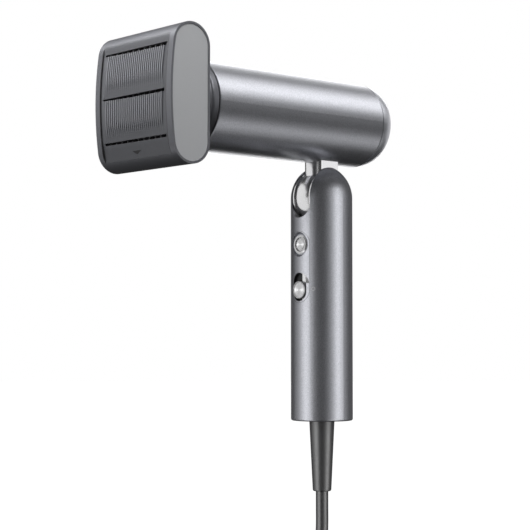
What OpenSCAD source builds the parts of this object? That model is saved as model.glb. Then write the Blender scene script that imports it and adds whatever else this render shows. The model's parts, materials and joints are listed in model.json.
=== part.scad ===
// Folding hair dryer with a wide smoothing nozzle, held by its handle.
// Millimetres. +Z up, the outlet faces -Y, the head folds about X.
// The origin is on the handle's axis, in the middle of the grip.

/* [Handle] */
// Height of the head's hinge axis above the origin
hinge_z = 90; // [85:1:100]
// Outer radius of the handle tube
handle_r = 18.1; // [17.5:0.1:18.5]
// Radius of the arc that rounds the handle's top
dome_r = 20.8; // [20:0.1:22]
// Thickness of the handle tube
handle_wall = 1.8; // [1.6:0.1:2]
// Distance from the hinge axis down to the handle's lower end
handle_len = 129.8; // [125:0.2:132]
// Width of the hinge slot and of the control strip
slot_w = 15.2; // [15:0.1:15.6]
// Depth of the hinge slot below the hinge axis
slot_depth = 11.9; // [11.5:0.1:12.5]

/* [Hinge] */
// Radius of the hinge ball
ball_r = 16.4; // [16:0.1:16.5]
// Radius of the hinge shaft
shaft_r = 4; // [3.5:0.1:4.5]
// Radius of the neck between ball and barrel
neck_r = 9.7; // [9:0.1:9.8]
// Width of the neck across its two flats
neck_w = 14; // [13:0.1:14.2]

/* [Barrel] */
// Height of the barrel's axis above the hinge axis
barrel_up = 45.8; // [44:0.1:48]
// Outer radius of the barrel
barrel_r = 24.9; // [24.5:0.1:25.2]
// Thickness of the barrel shell
barrel_wall = 1.8; // [1.6:0.1:2]
// Distance from the hinge to the barrel's front rim
front_len = 98; // [97:0.1:99]
// Distance from the hinge to the seam of the rear cap
seam_len = 27; // [26:0.5:28]
// Distance from the hinge to the barrel's rear end
rear_len = 38; // [37:0.2:39]

/* [Nozzle] */
// Width of the nozzle along X
nozzle_w = 67; // [64:1:70]
// Height of the nozzle
nozzle_h = 74.8; // [72:0.2:76]
// Depth of the nozzle, front to back
nozzle_d = 26.2; // [25:0.2:27]
// Distance from the hinge to the nozzle's flat back
nozzle_back = 112.4; // [112:0.2:114]
// Height of each air slot
air_slot = 1.9; // [1.5:0.1:2.2]

/* [Controls] */
// Distance of the mode button below the hinge axis
button_drop = 27.5; // [26:0.5:29]
// Travel of the slide switch
slide_travel = 4.7; // [4:0.1:5]

/* [Cord] */
// Diameter of the cord
cord_d = 7.3; // [7:0.1:7.6]
// Length of the strain relief
relief_len = 41; // [38:1:44]

/* [Hidden] */
$fn = 96;
eps = 0.05;

handle_base = hinge_z - handle_len;
handle_bore = handle_r - handle_wall;
slot_half = slot_w / 2;
cavity_r = ball_r + 0.3;
yoke_base = -24;
disc_t = 0.8;
disc_out = slot_half - 0.45;
ball_half = disc_out - disc_t;

strip_half = slot_half - 0.2;
dish_floor = -16.6;
strip_back = -14.4;
strip_top = -13;
strip_low = -64.5;
slide_top = -49.2;
slide_low = slide_top - slide_travel;
recess_half = 5.3;
recess_floor = -15.4;
knob_r = 5;
board_y = -9.5;

barrel_z = hinge_z + barrel_up;
barrel_bore = barrel_r - barrel_wall;
duct_r = 21.2;
spigot_r = 21.5;
spigot_len = front_len + 6.9;

outline_r = 12.2;
outline_z = nozzle_h / 2 - outline_r;
outline_y = -nozzle_back - outline_r;
bow_rise = nozzle_d - outline_r;
bow_r = (pow(bow_rise, 2) + pow(outline_z, 2) - pow(outline_r, 2)) / (2 * (bow_rise - outline_r));
front_y = -nozzle_back - nozzle_d;
shell_t = 1.8;
window_half = 29.5;
window_low = -32.6;
window_top = 31;
panel_inset = 0.7;
vent_half = 27.3;
slot_levels = [25.4, 0.9, -23.2];

relief_top = handle_base;
relief_low = relief_top - relief_len;
bend_r = 13;
run_len = 100;
row_pitch = 7.8;
hank_rows = 6;
hank_top = -138;
hank_mid = hank_top - bend_r - cord_d / 2 - run_len / 2;
row_y0 = -(hank_rows - 1) / 2 * row_pitch;
plug_y = 32.7;
plug_top = -190;
pin_gap = 19;
pin_r = 2.4;

// The cord from the strain relief down to the hank.
lead_route = [
    [0, 0, relief_low], [0, 0, -90], [0, 0, -100], [0.5, -1, -110], [3, -4, -120],
    [7, -10, -130], [11, -16, -142], [12.8, -19, -154], [13, -19.5, -162]
];
// The cord from the hank's last bend down to the plug.
tail_route = [
    [0, 23, -142], [4, 25.5, -142.5], [8.5, 28, -146], [11.5, 30.2, -152],
    [13, 31.8, -160], [13, 32.5, -170], [13, 32.7, -180], [13, plug_y, plug_top]
];

module at_hinge() { translate([0, 0, hinge_z]) children(); }

// Local z runs along the barrel towards the outlet, local y is up.
module along_barrel() { translate([0, 0, barrel_z]) rotate([90, 0, 0]) children(); }

// Extrudes a (Y, Z) outline along X, centred, with Z counted from the barrel's axis.
module across(width) {
    translate([-width / 2, 0, barrel_z]) rotate([90, 0, 90]) linear_extrude(width) children();
}

// Cylinder along X through the hinge axis.
module x_cyl(r, half) { rotate([0, 90, 0]) cylinder(r = r, h = 2 * half, center = true); }

// Cylinder along Y, from y0 to y1.
module y_cyl(r, y0, y1) { translate([0, y1, 0]) rotate([90, 0, 0]) cylinder(r = r, h = y1 - y0); }

module tube(r_out, r_in, z0, z1) {
    translate([0, 0, z0]) difference() {
        cylinder(r = r_out, h = z1 - z0);
        translate([0, 0, -1]) cylinder(r = r_in, h = z1 - z0 + 2);
    }
}

module block(low, high) { translate(low) cube(high - low); }

// Upright slot outline (X, Z) with round ends, extruded along Y from y0 to y1.
module y_stadium(half, z_low, z_high, y0, y1) {
    for (z = [z_low, z_high]) translate([0, 0, z]) y_cyl(half, y0, y1);
    block([-half, y0, z_low], [half, y1, z_high]);
}

// ---- Handle ----

// Room for the hinge ball and the swinging neck.
module hinge_room() {
    x_cyl(cavity_r, slot_half);
    block([-slot_half, -2 * handle_r, slot_half - slot_depth], [slot_half, neck_r + 0.4, 2 * handle_r]);
    translate([0, 0, slot_half - slot_depth]) y_cyl(slot_half, -2 * handle_r, 0);
}

// Column from low up to the hinge axis, with the handle's rounded top above it, all drawn in by inset.
module domed_column(inset, low) {
    translate([0, 0, low]) cylinder(r = handle_r - inset, h = -low);
    rotate_extrude() intersection() {
        translate([handle_r - dome_r, 0]) circle(dome_r - inset);
        square(dome_r);
    }
}

module strip_outline(half, y0, y1) {
    translate([0, 0, strip_low + half]) y_cyl(half, y0, y1);
    block([-half, y0, strip_low + half], [half, y1, strip_top]);
}

module handle_shell() {
    rim = 1.2;
    color("slategray") at_hinge() difference() {
        union() {
            domed_column(0, rim - handle_len);
            translate([0, 0, -handle_len]) rotate_extrude() {
                square([handle_r - rim, rim]);
                translate([handle_r - rim, rim]) intersection() {
                    circle(rim);
                    translate([0, -rim]) square(rim);
                }
            }
        }
        domed_column(handle_wall, -handle_len - 1);
        hinge_room();
        strip_outline(strip_half + eps, -2 * handle_r, -10);
    }
}

module hinge_yoke() {
    color("silver") at_hinge() difference() {
        domed_column(handle_wall + eps, yoke_base);
        hinge_room();
        x_cyl(shaft_r, 13);
        for (s = [-1, 1]) translate([s * (slot_half + 0.65), 0, 0]) x_cyl(9.1, 0.66);
        translate([0, 5, yoke_base - 1]) cylinder(r = 4, h = 20);
        block([-strip_half - 0.1, -20, yoke_base - 1], [strip_half + 0.1, strip_back + 2, strip_top + 0.5]);
        block([-9, -8, yoke_base - 1], [9, -3, -19]);
    }
}

module hinge_shaft() {
    color("gainsboro") at_hinge() difference() {
        x_cyl(shaft_r, 13);
        x_cyl(2.4, 14);
    }
}

module friction_washers() {
    color("dimgray") at_hinge() for (s = [-1, 1]) translate([s * (slot_half + 0.5), 0, 0]) difference() {
        x_cyl(9, 0.75);
        x_cyl(shaft_r, 1);
    }
}

module detent_spring() {
    color("gold") at_hinge() {
        block([-4, -7.5, -22.2], [4, -3.5, -21.4]);
        block([-4, -7.5, -21.4], [4, -6.9, -19.4]);
    }
}

module control_strip() {
    color("lightslategray") at_hinge() difference() {
        intersection() {
            strip_outline(strip_half, -handle_r - 1, strip_back);
            translate([0, 0, strip_low - 1]) cylinder(r = handle_r, h = strip_top - strip_low + 2);
        }
        y_stadium(recess_half, slide_low - 1.3, slide_top, -handle_r - 2, recess_floor);
        y_stadium(1.5, slide_low - 1.8, slide_top + 1.8, -handle_r - 2, strip_back + 1);
        translate([0, 0, -button_drop]) {
            y_cyl(5.5, -handle_r - 2, strip_back + 1);
            translate([0, dish_floor, 0]) rotate([90, 0, 0]) cylinder(r1 = 6, r2 = 7.4, h = 1.8);
        }
    }
}

module button_ring() {
    color("silver") at_hinge() translate([0, 0, -button_drop]) difference() {
        union() {
            y_cyl(5.45, dish_floor - 0.35, strip_back);
            y_cyl(4.9, dish_floor - 0.8, dish_floor);
        }
        y_cyl(4.1, -20, -10);
    }
}

module mode_button() {
    color("gainsboro") at_hinge() translate([0, 0, -button_drop]) {
        y_cyl(3.9, -17.1, -14.2);
        y_cyl(4.7, -14.2, -13.8);
    }
}

module tact_switch() {
    color("black") at_hinge() translate([0, 0, -button_drop]) {
        block([-3, board_y - 2.6, -3], [3, board_y, 3]);
        y_cyl(1.7, -13.1, board_y - 2.6);
    }
}

module slide_knob() {
    color("silver") at_hinge() translate([0, 0, slide_low]) {
        difference() {
            y_cyl(knob_r, -18.4, recess_floor - 0.2);
            y_cyl(knob_r - 0.9, -20, -18);
        }
        block([-1.2, recess_floor - 0.2, -2], [1.2, -14.2, 2]);
    }
}

module slide_carriage() {
    color("dimgray") at_hinge() translate([0, 0, slide_low]) block([-4, -14.2, -4.5], [4, -13, 4.5]);
}

module slide_switch() {
    color("black") at_hinge() block([-3.5, -12.8, slide_low - 4], [3.5, board_y, slide_top + 4]);
}

module switch_board() {
    color("darkgreen") at_hinge() block([-6.5, board_y, slide_low - 7], [6.5, board_y + 1.2, yoke_base - 0.1]);
}

module main_board() {
    color("green") block([-12, -2.6, -30], [12, -1, 58]);
}

module board_parts() {
    color("black") {
        translate([0, -6.2, 14]) cylinder(r = 3.5, h = 13);
        block([-9, -7.4, -26], [9, -2.6, -8]);
        block([-7, -6.4, -4], [7, -2.6, 12]);
        block([-8, -1, 20], [8, 7, 36]);
        block([-5, -1, -20], [5, 6, 2]);
        block([4, -5.6, 44], [10, -2.6, 56]);
    }
}

module handle_frame() {
    color("gray") difference() {
        tube(handle_bore - 0.1, handle_bore - 1.6, -33, 62);
        block([-20, -20, -34], [20, 1, 63]);
        block([-4, 0, 40], [4, 20, 52]);
    }
}

module bottom_cap() {
    color("dimgray") difference() {
        union() {
            tube(handle_bore - eps, 6, handle_base, handle_base + 3);
            tube(handle_bore - eps, handle_bore - 2, handle_base + 3, -33);
        }
        for (s = [-1, 1]) translate([0, s * 11, handle_base - 1]) cylinder(r = 1.5, h = 5);
    }
}

module cap_screws() {
    color("silver") for (s = [-1, 1]) translate([0, s * 11, 0]) difference() {
        union() {
            translate([0, 0, handle_base + 0.3]) cylinder(r = 1.45, h = 7);
            translate([0, 0, handle_base + 3]) cylinder(r = 2.4, h = 1.4);
        }
        translate([-0.3, -2, handle_base]) cube([0.6, 4, 1]);
    }
}

module strain_relief() {
    color("dimgray") rotate_extrude() polygon([
        [cord_d / 2 + eps, relief_low], [4.7, relief_low], [5.2, relief_low + 0.25], [5.45, relief_low + 0.9],
        [7.4, relief_top], [5.95, relief_top], [5.95, relief_top + 3],
        [8.5, relief_top + 3], [8.5, relief_top + 5], [cord_d / 2 + eps, relief_top + 5]
    ]);
}

module cable_clamp() {
    color("gray") difference() {
        block([-8, -5, relief_top + 5], [8, 7, relief_top + 9]);
        translate([0, 0, relief_top]) cylinder(r = cord_d / 2 + eps, h = 12);
        for (s = [-1, 1]) translate([0, s * 11, 0]) cylinder(r = 3, h = 80, center = true);
    }
}

module handle_wires() {
    color("firebrick") for (x = [-3.2, 0, 3.2]) translate([x, 10, -26]) cylinder(r = 1.2, h = 64, $fn = 32);
}

// ---- Cord ----

// A ring of points around each route point, square to the route there.
function ring_dir(route, i) =
    let (a = route[max(i - 1, 0)], b = route[min(i + 1, len(route) - 1)]) (b - a) / norm(b - a);
function ring_side(t) = let (s = cross(t, [0, 1, 0])) s / norm(s);

module sweep(route, r, sides) {
    rings = len(route);
    points = [for (i = [0:rings - 1]) let (t = ring_dir(route, i), u = ring_side(t), v = cross(t, u))
        for (k = [0:sides - 1]) route[i] + r * (cos(360 * k / sides) * u + sin(360 * k / sides) * v)];
    sides_faces = [for (i = [0:rings - 2], k = [0:sides - 1]) let (n = (k + 1) % sides)
        [i * sides + k, i * sides + n, (i + 1) * sides + n, (i + 1) * sides + k]];
    polyhedron(points, concat(
        sides_faces,
        [[for (k = [sides - 1:-1:0]) k]],
        [[for (k = [0:sides - 1]) (rings - 1) * sides + k]]));
}

module cord_lead() { color("dimgray") sweep(lead_route, cord_d / 2, 12); }

module cord_tail() { color("dimgray") sweep(tail_route, cord_d / 2, 12); }

module cord_hank() {
    half_w = bend_r + cord_d / 2;
    half_d = (hank_rows - 1) / 2 * row_pitch + cord_d / 2;
    color("dimgray") translate([0, 0, hank_mid])
        y_stadium(half_w, -run_len / 2, run_len / 2, -half_d, half_d);
}

module cord_tie() {
    half_w = bend_r + cord_d / 2 + 0.05;
    half_d = (hank_rows - 1) / 2 * row_pitch + cord_d / 2 + 0.05;
    color("black") translate([0, 0, hank_mid]) difference() {
        block([-half_w - 1.5, -half_d - 1.5, -8], [half_w + 1.5, half_d + 1.5, 8]);
        block([-half_w, -half_d, -9], [half_w, half_d, 9]);
    }
}

module plug_body() {
    color("dimgray") translate([13, plug_y, plug_top]) {
        translate([0, 0, -14]) cylinder(r1 = 7, r2 = 5, h = 14);
        translate([0, 0, -22]) cylinder(r1 = 7.2, r2 = 7, h = 8);
        difference() {
            union() {
                for (s = [-1, 1]) translate([s * 10.5, 0, -44]) cylinder(r = 7.2, h = 22);
                block([-10.5, -7.2, -44], [10.5, 7.2, -22]);
            }
            for (s = [-1, 1]) translate([s * pin_gap / 2, 0, -50]) cylinder(r = pin_r - 0.6, h = 14);
        }
    }
}

module plug_pins() {
    color("silver") translate([13, plug_y, plug_top]) for (s = [-1, 1]) translate([s * pin_gap / 2, 0, 0]) {
        translate([0, 0, -44]) cylinder(r = pin_r - 0.6, h = 8);
        translate([0, 0, -62]) cylinder(r = pin_r, h = 18);
        translate([0, 0, -63]) cylinder(r1 = pin_r - 1, r2 = pin_r, h = 1);
    }
}

// ---- Hinge, head side ----

module neck_column(r, w, low, high) {
    intersection() {
        translate([0, 0, low]) cylinder(r = r, h = high - low);
        block([-w / 2, -2 * r, low], [w / 2, 2 * r, high]);
    }
}

module hinge_ball() {
    color("gainsboro") at_hinge() difference() {
        intersection() {
            sphere(r = ball_r);
            x_cyl(ball_r + 1, ball_half);
        }
        x_cyl(shaft_r + 0.05, ball_half + 1);
        neck_column(neck_r + eps, neck_w, 12, 20);
    }
}

module hinge_discs() {
    color("gainsboro") at_hinge() for (s = [-1, 1]) translate([s * (ball_half + disc_t / 2), 0, 0]) difference() {
        x_cyl(ball_r - 0.2, disc_t / 2);
        x_cyl(shaft_r + 0.05, disc_t);
        translate([-s * (ball_half + disc_t / 2), 0, 0]) neck_column(neck_r + eps, neck_w + 1, 12, 20);
    }
}

module neck_post() {
    color("gainsboro") at_hinge() difference() {
        neck_column(neck_r, neck_w, 12, barrel_up - barrel_bore + 0.6);
        translate([0, 0, 10]) cylinder(r = 4.5, h = 20);
    }
}

module neck_saddle() {
    color("silver") difference() {
        along_barrel() intersection() {
            tube(barrel_bore - eps, barrel_bore - 2.2, -20, 20);
            block([-14, -30, -16], [14, -10, 16]);
        }
        at_hinge() neck_column(neck_r + eps, neck_w + 0.1, 15, barrel_up - barrel_bore + 0.6);
        at_hinge() cylinder(r = 4.5, h = 40);
        saddle_screw_places() {
            cylinder(r = 1.5, h = 60, center = true);
            translate([0, 0, 1.4]) cylinder(r = 2.55, h = 10);
        }
    }
}

module saddle_screw_places() {
    for (x = [-4.5, 4.5], y = [-12.5, 12.5]) translate([x, y, barrel_z - barrel_bore]) children();
}

module saddle_screws() {
    color("silver") saddle_screw_places() {
        translate([0, 0, 0.95]) cylinder(r = 1.45, h = 0.5, $fn = 48);
        translate([0, 0, 1.42]) cylinder(r = 2.5, h = 1.15, $fn = 48);
    }
}

// ---- Barrel ----

module barrel_shell() {
    rim = 0.8;
    color("slategray") difference() {
        along_barrel() rotate_extrude($fn = 180) difference() {
            union() {
                translate([barrel_bore, -seam_len]) square([barrel_wall, seam_len + front_len - rim]);
                translate([barrel_bore, -seam_len]) square([barrel_wall - rim, seam_len + front_len]);
                translate([barrel_r - rim, front_len - rim]) circle(rim, $fn = 48);
            }
            translate([barrel_r - 0.35, -seam_len - 1]) square([1, 2]);
        }
        at_hinge() neck_column(neck_r + eps, neck_w + 0.1, 10, 30);
    }
}

module front_ring() {
    color("dimgray") along_barrel() difference() {
        union() {
            tube(barrel_bore - eps, 19.4, front_len - 8, front_len);
            tube(spigot_r, 19.4, front_len, spigot_len);
        }
        tube(21.1, 19.9, spigot_len - 2.5, spigot_len + 1);
        tube(duct_r + eps, 19, front_len - 9, front_len - 4);
    }
}

module magnet_ring() {
    color("gray") along_barrel() tube(21.05, 19.95, spigot_len - 2.45, spigot_len - 0.1);
}

module outlet_grille() {
    color("dimgray") along_barrel() {
        tube(19.35, 18.4, front_len - 2, front_len + 1);
        for (r = [4.4, 7.9, 11.4, 14.9]) tube(r, r - 0.9, front_len - 2, front_len);
        intersection() {
            tube(18.6, 3.9, front_len - 1.9, front_len - 0.1);
            for (a = [0:30:150]) rotate([0, 0, a]) block([-20, -0.5, 0], [20, 0.5, 200]);
        }
    }
}

module air_duct() {
    color("wheat") along_barrel() tube(duct_r, duct_r - 1, 31, front_len - 4.1);
}

module heat_shield() {
    color("khaki") along_barrel() tube(duct_r - 1.2, duct_r - 1.8, 36, front_len - 8);
}

module mica_cross() {
    color("khaki") along_barrel() {
        block([-14.5, -0.5, 38], [14.5, 0.5, 84]);
        block([-0.5, -14.5, 38], [0.5, 14.5, 84]);
        for (a = [0:90:270]) rotate([0, 0, a]) block([14.5, -0.5, 36], [18.9, 0.5, 39]);
    }
}

module heater_coils() {
    color("peru") along_barrel() for (i = [0:8])
        translate([0, 0, 42 + i * 4.8]) rotate_extrude() translate([15.4, 0]) circle(r = 0.7, $fn = 24);
}

module thermal_sensors() {
    color("ivory") along_barrel() {
        translate([5, 5, 60]) cylinder(r = 2.6, h = 9, $fn = 48);
        translate([-5, 5, 62]) cylinder(r = 1.6, h = 12, $fn = 48);
        translate([-6, -6, 86]) sphere(r = 1.3, $fn = 32);
        translate([-6, -6, 70]) cylinder(r = 0.4, h = 16, $fn = 24);
    }
}

module ion_module() {
    color("black") along_barrel() {
        block([-8, 12, -25], [8, 18, -13]);
        for (s = [-1, 1]) translate([s * 4, 17.6, 84]) cylinder(r = 0.5, h = 8.5, $fn = 24);
    }
}

// ---- Motor ----

module motor_sleeve() {
    color("black") along_barrel() {
        tube(19.6, 17.25, -12, 29);
        difference() {
            for (z = [-10, 8, 26]) tube(barrel_bore - 0.1, 19.5, z - 1.2, z + 1.2);
            block([-15, -30, -17], [15, -10, 17]);
        }
    }
}

module motor_housing() {
    vanes = 9;
    color("silver") along_barrel() {
        tube(17.2, 15.8, -12, 29);
        tube(10.2, 9.2, 3, 26);
        for (i = [0:vanes - 1]) rotate([0, 0, i * 360 / vanes]) rotate([0, 0, 3])
            block([9.9, -0.5, 4], [16, 0.5, 24]);
        tube(9.3, 5.05, 3, 5);
        tube(9.3, 5.05, 22, 24.5);
    }
}

module stator() {
    color("gray") along_barrel() difference() {
        tube(9.15, 5.3, 7, 20);
        for (a = [0:60:300]) rotate([0, 0, a]) translate([6.6, 0, 6]) cylinder(r = 1.2, h = 15, $fn = 48);
    }
}

module stator_coils() {
    color("orangered") along_barrel() for (a = [0:60:300])
        rotate([0, 0, a]) translate([6.6, 0, 5.6]) cylinder(r = 1.1, h = 15.8, $fn = 32);
}

module motor_bearings() {
    color("silver") along_barrel() {
        tube(5, 1.55, 2, 5);
        tube(5, 1.55, 22, 24.5);
    }
}

module motor_board() {
    color("darkgreen") along_barrel() tube(9.8, 3, 26.1, 27.4);
}

module impeller() {
    blades = 11;
    color("dimgray") along_barrel() {
        tube(8, 1.5, -9, 1);
        intersection() {
            tube(15.3, 7, -9, 1);
            for (i = [0:blades - 1]) rotate([0, 0, i * 360 / blades]) translate([12, 0, -4]) rotate([38, 0, 0])
                cube([10, 0.9, 10.5], center = true);
        }
    }
}

module rotor_shaft() {
    color("silver") along_barrel() translate([0, 0, -9.5]) cylinder(r = 1.5, h = 35);
}

module rotor_magnet() {
    color("dimgray") along_barrel() tube(4.8, 1.5, 6, 21);
}

// ---- Rear cap ----

module rear_cap() {
    sleeve_r = barrel_bore - 0.3;
    hole_pitch = 3.4;
    hole_rows = 5;
    round_deep = 14;
    round_in = 6.1;
    color("slategray") along_barrel() difference() {
        rotate_extrude($fn = 180) polygon(concat(
            [[sleeve_r - 1.4, -21], [sleeve_r, -21], [sleeve_r, -seam_len - 0.15]],
            [[barrel_r - 0.6, -seam_len - 0.15], [barrel_r - 0.2, -seam_len - 0.6]],
            [for (a = [18:6:90]) [
                barrel_r - round_in * (1 - cos(a)), -rear_len + round_deep * (1 - sin(a))]],
            [[0, -rear_len], [0, -rear_len + 1.6], [18.6, -rear_len + 1.6], [21.4, -31]]));
        for (i = [1:hole_rows], k = [0:6 * i - 1])
            rotate([0, 0, 60 * k / i]) translate([i * hole_pitch, 0, -rear_len - 1]) cylinder(r = 1, h = 4, $fn = 24);
    }
}

module filter_mesh() {
    color("gray") along_barrel() translate([0, 0, -rear_len + 2.1]) {
        cylinder(r = 18.7, h = 0.5);
        tube(18.7, 17.6, 0.5, 2.4);
    }
}

// ---- Nozzle ----

// Side outline of the nozzle (Y, Z), drawn in by inset all round.
module nozzle_outline(inset) {
    bow_y = front_y + bow_r;
    wedge_y = bow_y - 1.1 * (bow_y - outline_y);
    for (s = [-1, 1]) translate([outline_y, s * outline_z]) circle(outline_r - inset);
    intersection() {
        translate([bow_y, 0]) circle(bow_r - inset, $fn = 540);
        polygon([
            [outline_y, -outline_z], [outline_y, outline_z],
            [wedge_y, 1.1 * outline_z], [wedge_y, -1.1 * outline_z]]);
    }
    translate([outline_y - eps, -outline_z]) square([outline_r - inset + eps, 2 * outline_z]);
}

module nozzle_ring() {
    color("silver") along_barrel() tube(21.5, 19.6, spigot_len + 0.3, spigot_len + 2.4);
}

module nozzle_collar() {
    color("dimgray") along_barrel() rotate_extrude($fn = 144) polygon([
        [spigot_r + 0.35, front_len + 0.3], [24.1, front_len + 0.3], [24.4, front_len + 0.6],
        [24.4, front_len + 3.4], [24.1, front_len + 4], [23.4, front_len + 4.6], [23, front_len + 5.8],
        [22.8, front_len + 8], [22.8, nozzle_back], [20.5, nozzle_back],
        [19.8, spigot_len + 3], [spigot_r + 0.35, spigot_len + 3]
    ]);
}

module nozzle_shell() {
    color("dimgray") difference() {
        across(nozzle_w) nozzle_outline(0);
        across(nozzle_w - 6) nozzle_outline(shell_t);
        for (s = [-1, 1]) translate([s * (nozzle_w / 2 - 0.5), 0, 0]) across(5) nozzle_outline(1.3);
        along_barrel() translate([0, 0, nozzle_back - 1]) cylinder(r = 20.5, h = 8);
        translate([0, 0, barrel_z]) block(
            [-window_half, front_y - 1, window_low],
            [window_half, front_y + 9, window_top]);
    }
}

module nozzle_end_caps() {
    color("darkgray") for (s = [-1, 1]) translate([s * (nozzle_w / 2 - 1.6), 0, 0]) across(2.6) nozzle_outline(1.35);
}

// The bowed front between the end rims, with the air slots cut through it.
module front_panel() {
    half = window_half - 0.4;
    low = window_low + 0.4;
    color("dimgray") difference() {
        across(2 * half) intersection() {
            difference() {
                nozzle_outline(panel_inset);
                nozzle_outline(panel_inset + 1.5);
            }
            translate([front_y - 1, low]) square([10, window_top - 0.4 - low]);
        }
        for (z = slot_levels) translate([0, 0, barrel_z + z])
            block([-vent_half, front_y - 1, -air_slot / 2], [vent_half, front_y + 9, air_slot / 2]);
    }
}

module comb_vanes() {
    vanes = 11;
    pitch = 4.9;
    color("gray") for (z = slot_levels, i = [0:vanes - 1])
        translate([(i - (vanes - 1) / 2) * pitch, 0, barrel_z + z])
            block([-0.35, front_y + 4.4, -2.2], [0.35, front_y + 8.8, 2.2]);
    color("gray") for (z = slot_levels) translate([0, 0, barrel_z + z])
        block([-26, front_y + 8.6, 1.4], [26, front_y + 9.4, 2.2]);
}

module flow_divider() {
    color("gray") across(50) for (s = [-1, 1])
        polygon([[-nozzle_back - 6, s * 5], [-nozzle_back - 12, s * 12], [-nozzle_back - 13.2, s * 11.4],
            [-nozzle_back - 7, s * 4.2]]);
    color("gray") for (s = [-1, 1]) translate([s * 25.6, 0, 0]) across(1.2)
        translate([-nozzle_back - 14, -13]) square([8, 26]);
}

handle_shell();
hinge_yoke();
hinge_shaft();
friction_washers();
detent_spring();
control_strip();
button_ring();
tact_switch();
slide_switch();
switch_board();
main_board();
board_parts();
handle_frame();
bottom_cap();
cap_screws();
strain_relief();
cable_clamp();
handle_wires();
cord_lead();
cord_hank();
cord_tail();
cord_tie();
plug_body();
plug_pins();
mode_button();
slide_knob();
slide_carriage();
hinge_ball();
hinge_discs();
neck_post();
neck_saddle();
saddle_screws();
barrel_shell();
front_ring();
magnet_ring();
outlet_grille();
air_duct();
heat_shield();
mica_cross();
heater_coils();
thermal_sensors();
ion_module();
motor_sleeve();
motor_housing();
stator();
stator_coils();
motor_bearings();
motor_board();
impeller();
rotor_shaft();
rotor_magnet();
rear_cap();
filter_mesh();
nozzle_ring();
nozzle_collar();
nozzle_shell();
nozzle_end_caps();
front_panel();
comb_vanes();
flow_divider();
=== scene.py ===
"""Folding hair dryer with a smoothing nozzle, built around the CAD frame. Metres, +Z up."""
import json
import math

import bpy
import bmesh
from mathutils import Matrix, Vector

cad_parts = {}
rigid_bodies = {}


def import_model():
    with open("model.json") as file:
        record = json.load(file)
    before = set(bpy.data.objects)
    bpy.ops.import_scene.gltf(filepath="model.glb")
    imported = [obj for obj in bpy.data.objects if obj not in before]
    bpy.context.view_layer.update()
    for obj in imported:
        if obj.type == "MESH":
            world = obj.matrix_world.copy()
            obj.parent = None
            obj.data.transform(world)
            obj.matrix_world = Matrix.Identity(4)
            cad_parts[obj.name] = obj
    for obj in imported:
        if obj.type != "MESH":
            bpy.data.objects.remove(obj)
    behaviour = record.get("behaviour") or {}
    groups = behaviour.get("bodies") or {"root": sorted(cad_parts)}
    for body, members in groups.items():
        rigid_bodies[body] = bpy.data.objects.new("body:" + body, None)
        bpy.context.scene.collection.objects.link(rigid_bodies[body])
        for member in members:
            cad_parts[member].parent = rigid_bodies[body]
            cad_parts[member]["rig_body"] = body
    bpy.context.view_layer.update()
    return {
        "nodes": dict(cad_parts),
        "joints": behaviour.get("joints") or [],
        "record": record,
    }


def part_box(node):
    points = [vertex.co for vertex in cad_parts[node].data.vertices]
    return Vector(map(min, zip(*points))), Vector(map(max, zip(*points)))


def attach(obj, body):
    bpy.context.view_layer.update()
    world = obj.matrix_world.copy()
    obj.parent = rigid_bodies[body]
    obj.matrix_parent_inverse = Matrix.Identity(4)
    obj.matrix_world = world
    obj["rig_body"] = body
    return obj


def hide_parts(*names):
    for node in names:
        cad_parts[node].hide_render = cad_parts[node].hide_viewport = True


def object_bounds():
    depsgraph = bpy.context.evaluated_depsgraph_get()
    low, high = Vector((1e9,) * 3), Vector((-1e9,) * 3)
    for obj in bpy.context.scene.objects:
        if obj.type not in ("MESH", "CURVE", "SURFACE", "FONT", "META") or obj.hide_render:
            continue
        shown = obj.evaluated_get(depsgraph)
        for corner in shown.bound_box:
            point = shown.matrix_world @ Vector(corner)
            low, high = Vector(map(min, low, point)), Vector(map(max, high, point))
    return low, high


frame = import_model()
NODES = frame["nodes"]
MM = 0.001

# ---------------------------------------------------------------- places, from the frame

HINGE_Z = next(j["pos_m"][2] for j in frame["joints"] if j["name"] == "head_fold")
AXIS_Z = next(j["pos_m"][2] for j in frame["joints"] if j["name"] == "rotor_spin")
HANDLE_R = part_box("handle_shell")[1][0]
CORD_D = 7.3 * MM
PLUG_LOW, PLUG_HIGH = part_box("plug_body")


def ease(t):
    """Smooth step from 0 to 1."""
    t = min(1.0, max(0.0, t))
    return t * t * (3 - 2 * t)


def place(obj, body, node_names=()):
    """Rides the piece on a body, and hides the CAD nodes that it stands for."""
    if obj.name not in bpy.context.scene.collection.objects:
        bpy.context.scene.collection.objects.link(obj)
    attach(obj, body)
    if node_names:
        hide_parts(*node_names)
    return obj


# ---------------------------------------------------------------- camera

CAMERA_AZIMUTH = math.radians(48.615)
CAMERA_PITCH = math.radians(2.963)
CAMERA_SPOT = Vector((0.65814, -0.62427, 0.00423))
CAMERA_LENS = 104.9
CAMERA_SENSOR = 36
CAMERA_REACH = 100


def make_camera():
    data = bpy.data.cameras.new("camera")
    data.lens = CAMERA_LENS
    data.sensor_width = CAMERA_SENSOR
    data.clip_end = CAMERA_REACH
    camera = bpy.data.objects.new("camera", data)
    bpy.context.scene.collection.objects.link(camera)
    heading = Matrix.Rotation(CAMERA_AZIMUTH, 4, "Z")
    tilt = Matrix.Rotation(math.pi / 2 + CAMERA_PITCH, 4, "X")
    camera.matrix_world = Matrix.Translation(CAMERA_SPOT) @ (heading @ tilt)
    bpy.context.scene.camera = camera


make_camera()

# ---------------------------------------------------------------- cord route

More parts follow.
